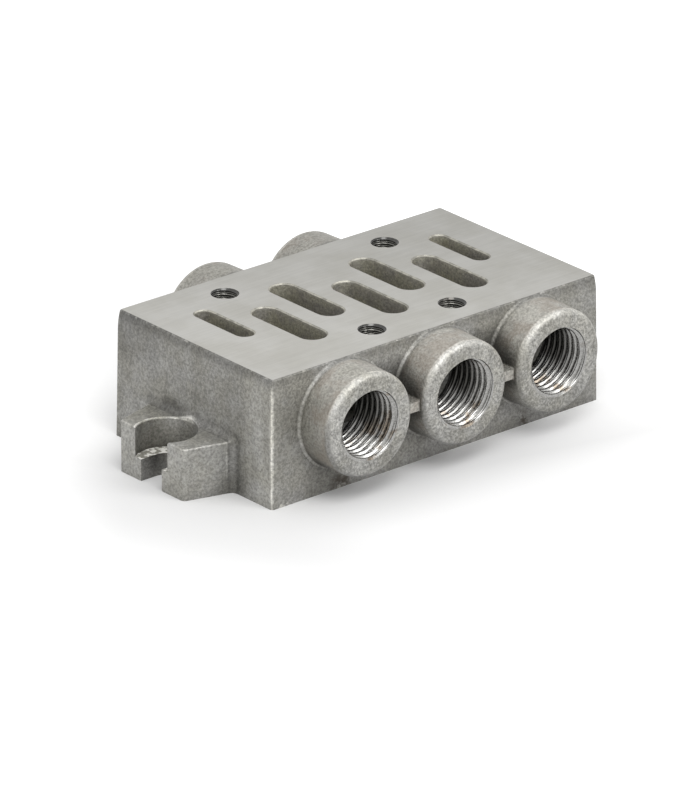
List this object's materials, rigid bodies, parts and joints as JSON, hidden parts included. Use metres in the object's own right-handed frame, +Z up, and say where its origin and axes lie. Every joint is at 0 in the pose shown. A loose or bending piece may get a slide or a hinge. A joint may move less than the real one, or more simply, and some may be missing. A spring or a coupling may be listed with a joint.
{
  "type": "pneumatic valve subbase",
  "caption": "Cast aluminium subbase for a five-port pneumatic valve: slotted and tapped top face, threaded side ports on round bosses and an open fixing foot at each end.",
  "frame": {"origin": "middle of the underside", "axes": "+X along the block through both fixing feet, +Y towards the two-port side, -Y towards the three-port side, +Z up out of the valve face"},
  "size_m": [0.0916, 0.056, 0.0233],
  "materials": {
    "cast_aluminium": "as cast, bead blasted, with a milled top face"
  },
  "bodies": {
    "root": {"subbase_casting": "cast_aluminium"}
  },
  "joints": []
}
